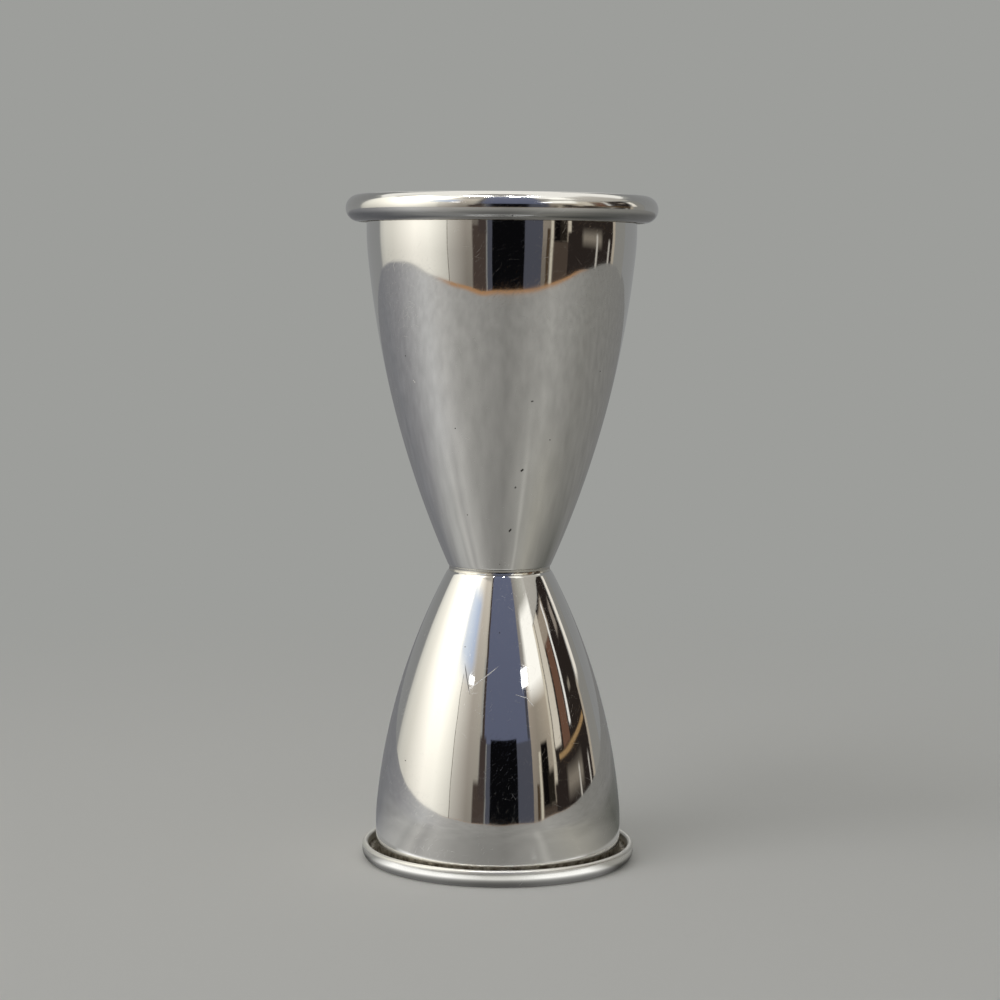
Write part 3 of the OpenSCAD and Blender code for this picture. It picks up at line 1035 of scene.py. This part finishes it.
# Free edge of the sheet, sheared and tumbled round: a broad soft gleam without an image in it
worn_edge = buffed_steel("sheared_tumbled_stainless", "d3d2cd", rough=0.36, cloud=0.10, mop=0.06,
                         wave_height=0.03, hair=0.1, scratch=0.2, pits=0.3)
# Flat on each crest, ground: a dull narrow ring
ground_land = buffed_steel("ground_stainless_land", "d2d1cc", rough=0.24, cloud=0.08, mop=0.12,
                           wave_height=0.01, hair=0.2, scratch=0.3, pits=0.2)
# Inside, turned to a satin: highlights spread across the turning lines into bright wedges
satin_steel = buffed_steel("satin_turned_stainless", "d8d7d3", rough=0.17, cloud=0.08, mop=0.16,
                           wave_height=0.03, hair=0.15, scratch=0.2, pits=0.3, stretch=0.6)
for finish in (bright_rim, worn_rim, worn_edge, ground_land, satin_steel):
    print("another finish of the same steel:", finish.name)

# %% [markdown]
# ## The gutter behind each curl
# No mop reaches into the narrow gutter between the wall and the curl. The steel there keeps its dull drawn
# skin, and old polish and water leave a brown-grey film, so it reads as a dark line all round the rim. The
# film ends in a ragged line on the wall, as far as a cloth gets.

# %% Film in the gutter
STAIN_MM, STAIN_LEVELS = 0.9, (0.35, 0.65)
THIN_TINT, THICK_TINT = "b5afa2", "5e564a"
THIN_ROUGH, THICK_ROUGH = 0.32, 0.5

# Drawn steel under a dried film: dull, blotchy and brown, with no image in it
gutter_steel, tree, out = empty_material("unbuffed_filmed_stainless")
space = space_on(tree)
patches = noise(tree, space, STAIN_MM, detail=3.0)
film = mapped(tree, patches, *STAIN_LEVELS)
stain = blend(tree, film, linear(THIN_TINT), linear(THICK_TINT))
dull = mapped(tree, film, 0, 1, THIN_ROUGH, THICK_ROUGH)
print("gutter film in patches of", STAIN_MM, "mm")

# %% Wiped edge of the film
# Heights in mm where the film is whole and where the wall is wiped, at the lower and at the upper rim
WIPED = [(2.5, 3.5), (98.8, 98.7)]
WIPED_TINT, WIPED_ROUGH = "e0dfdc", 0.06
# Wiping counts this much more than the patches, and the film ends between these sums of the two
WIPE_WEIGHT, RAGGED = 2, (1.0, 1.5)

height = height_of(tree, space)
reached = [mapped(tree, height, filmed, wiped) for filmed, wiped in WIPED]
clean = maths(tree, "MULTIPLY_ADD", maths(tree, "MINIMUM", *reached), WIPE_WEIGHT, patches)
clean = mapped(tree, clean, *RAGGED)
stain = blend(tree, clean, stain, linear(WIPED_TINT))
dull = blend(tree, clean, dull, WIPED_ROUGH, kind="FLOAT")
face = add_node(tree, "ShaderNodeBsdfPrincipled", {"Base Color": stain, "Metallic": 1.0, "Roughness": dull})
tree.links.new(face.outputs["BSDF"], out.inputs["Surface"])
print(gutter_steel.name, "has", len(tree.nodes), "nodes")

# %% [markdown]
# ## Silver braze
# Silver filler is softer and slightly yellower than steel. It froze against the air and was only touched
# by the mop. One noise for colour, roughness and bump ties the three together, as they are on the metal.

# %% Braze as it froze
RIPPLE_MM, RIPPLE_HEIGHT_MM = 0.9, 0.02
RIPPLE_LEVELS = (0.3, 0.7)
BRAZE_ROUGH = (0.08, 0.24)
BRAZE_TINTS = ("dedcd5", "c9c6bd")

# Silver filler, frozen from liquid: a soft sheen with faint ripples
braze_metal, tree, out = empty_material("silver_braze_as_frozen")
space = space_on(tree)
ripples = noise(tree, space, RIPPLE_MM)
dull = mapped(tree, ripples, *RIPPLE_LEVELS, *BRAZE_ROUGH)
tone = blend(tree, ripples, *[linear(tint) for tint in BRAZE_TINTS])
bent = add_node(tree, "ShaderNodeBump", {"Height": ripples, "Strength": 1.0,
                                         "Distance": RIPPLE_HEIGHT_MM * MM}).outputs["Normal"]
face = add_node(tree, "ShaderNodeBsdfPrincipled",
                {"Base Color": tone, "Metallic": 1.0, "Roughness": dull, "Normal": bent})
tree.links.new(face.outputs["BSDF"], out.inputs["Surface"])
print("braze ripples of", RIPPLE_MM, "mm")

# %% [markdown]
# ## Dress the pieces
# The lathe gave each face the number of its finish, so the materials only have to be added in that order.
# The two cups share all finishes but one: their rims have worn differently.

# %% Materials onto the pieces
for piece, rim in ((large_piece, bright_rim), (small_piece, worn_rim)):
    for finish in (mirror_steel, gutter_steel, worn_edge, rim, ground_land, satin_steel):
        piece.data.materials.append(finish)
braze_piece.data.materials.append(braze_metal)
print("finishes of a cup, in order:", FINISHES)

# %% [markdown]
# ## Fit the pieces to the frame
# Each modelled piece stands for one CAD node and moves with the only body, and the CAD node it stands
# for is hidden.

# %% Ride and replace
for piece, node, slot in ((large_piece, "large_cup", "polished_stainless"),
                          (small_piece, "small_cup", "polished_stainless"),
                          (braze_piece, "waist_braze", "silver_braze")):
    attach(piece, "root")
    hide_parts(node)
